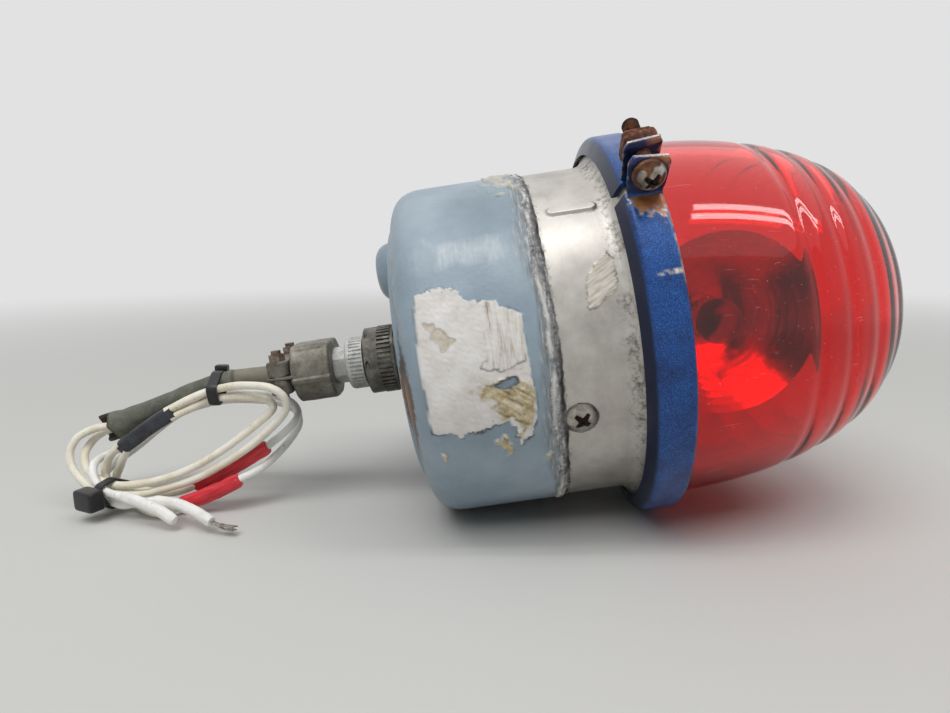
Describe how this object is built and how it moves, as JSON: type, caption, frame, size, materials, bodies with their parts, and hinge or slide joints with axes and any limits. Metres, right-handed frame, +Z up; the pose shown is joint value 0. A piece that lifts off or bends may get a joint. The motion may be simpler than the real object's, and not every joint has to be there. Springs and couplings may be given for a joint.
{
  "type": "aviation beacon lamp",
  "caption": "Aircraft beacon lamp: reflectors turn on a geared carriage under a red glass dome clamped to a round metal can, with a screwed plug and tied-up wires at the rear.",
  "frame": {"origin": "on the floor below the middle of the lamp's bounding box, without the plug and its wires", "axes": "+X towards the glass dome's tip, +Z up, -Y towards the viewer of the picture; the lamp lies on its side"},
  "size_m": [0.272, 0.124, 0.1241],
  "materials": {
    "grey_paint": "satin, worn",
    "sealant": "matt, smeared",
    "bare_aluminium": "dull, scratched",
    "screw_steel": "plated",
    "blue_paint": "gloss, chipped",
    "rusty_steel": "rusted",
    "red_glass": "clear, gloss",
    "black_rubber": "matt",
    "gear_brass": "machined",
    "brown_laminate": "matt",
    "carbon": "matt",
    "reflector_mirror": "polished",
    "lamp_glass": "clear",
    "socket_brass": "bright",
    "lead_insulation": "matt",
    "olive_cadmium": "olive plated, worn",
    "boot_rubber": "grey-green, aged",
    "cream_insulation": "satin",
    "white_insulation": "satin",
    "red_sleeve": "satin",
    "black_sleeve": "semi-gloss",
    "black_nylon": "satin",
    "tinned_copper": "dull"
  },
  "bodies": {
    "housing": {"rear_can": "grey_paint", "seam_sealant": "sealant", "barrel": "bare_aluminium", "barrel_screws": "screw_steel", "clamp_band": "blue_paint", "clamp_nut": "rusty_steel", "lens": "red_glass", "lens_gasket": "black_rubber", "chassis_plate": "bare_aluminium", "drive_motor": "bare_aluminium", "motor_screws": "screw_steel", "spindle_bush": "gear_brass", "brush_block": "brown_laminate", "brushes": "carbon", "noise_filter": "screw_steel", "inner_leads": "lead_insulation", "receptacle": "olive_cadmium", "receptacle_insert": "brown_laminate", "receptacle_pins": "gear_brass", "flange_screws": "screw_steel"},
    "carriage": {"carriage_gear": "gear_brass", "carriage_spindle": "screw_steel", "spindle_clip": "screw_steel", "lamp_table": "bare_aluminium", "lamp_post": "bare_aluminium", "reflector_a": "reflector_mirror", "reflector_b": "reflector_mirror", "lamp_sockets": "socket_brass", "lamp_a": "lamp_glass", "lamp_b": "lamp_glass", "slip_drum": "brown_laminate", "slip_rings": "gear_brass"},
    "pinion": {"motor_pinion": "gear_brass"},
    "plug": {"plug_shell": "olive_cadmium", "plug_insert": "brown_laminate", "end_bell": "bare_aluminium", "cable_clamp": "olive_cadmium", "saddles": "olive_cadmium", "saddle_screws": "rusty_steel", "cable_boot": "boot_rubber", "supply_wire_a": "cream_insulation", "supply_wire_b": "cream_insulation", "splice_sleeve": "black_sleeve", "link_wire_a": "cream_insulation", "link_wire_b": "cream_insulation", "red_sleeve_a": "red_sleeve", "red_sleeve_b": "red_sleeve", "tail_wire_a": "white_insulation", "tail_wire_b": "white_insulation", "tail_sleeve_a": "white_insulation", "tail_sleeve_b": "white_insulation", "bare_strands": "tinned_copper", "bundle_tie": "black_nylon", "boot_tie": "black_nylon"},
    "coupling_nut": {"coupling_nut": "olive_cadmium"},
    "clamp_washer": {"clamp_washer": "rusty_steel"},
    "clamp_screw": {"clamp_screw": "rusty_steel"}
  },
  "joints": [
    {"name": "carriage_spin", "type": "hinge", "parent": "housing", "child": "carriage", "pos_m": [-0.01712, 0, 0.05945], "axis": [0.9899, 0, 0.142], "continuous": true},
    {"name": "pinion_spin", "type": "hinge", "parent": "housing", "child": "pinion", "pos_m": [-0.02122, 0, 0.08796], "axis": [0.9899, 0, 0.142], "continuous": true},
    {"name": "coupling_nut_turn", "type": "hinge", "parent": "plug", "child": "coupling_nut", "pos_m": [-0.07949, 0, 0.05051], "axis": [-0.9899, 0, -0.142], "range_deg": [0, 1702]},
    {"name": "plug_slide", "type": "slide", "parent": "housing", "child": "plug", "axis": [-0.9899, 0, -0.142], "range_m": [0, 0.006]},
    {"name": "clamp_screw_turn", "type": "hinge", "parent": "clamp_washer", "child": "clamp_screw", "pos_m": [-0.00552, -0.05228, 0.10707], "axis": [0.1022, -0.6947, -0.712], "range_deg": [0, 2268]},
    {"name": "clamp_washer_slide", "type": "slide", "parent": "housing", "child": "clamp_washer", "axis": [0.1022, -0.6947, -0.712], "range_m": [0, 0.005]}
  ],
  "couplings": [
    {"joint": "pinion_spin", "follows": "carriage_spin", "ratio": -3.8},
    {"joint": "coupling_nut_turn", "follows": "plug_slide", "rad_per_m": 4947.4},
    {"joint": "clamp_screw_turn", "follows": "clamp_washer_slide", "rad_per_m": 7913.3}
  ]
}
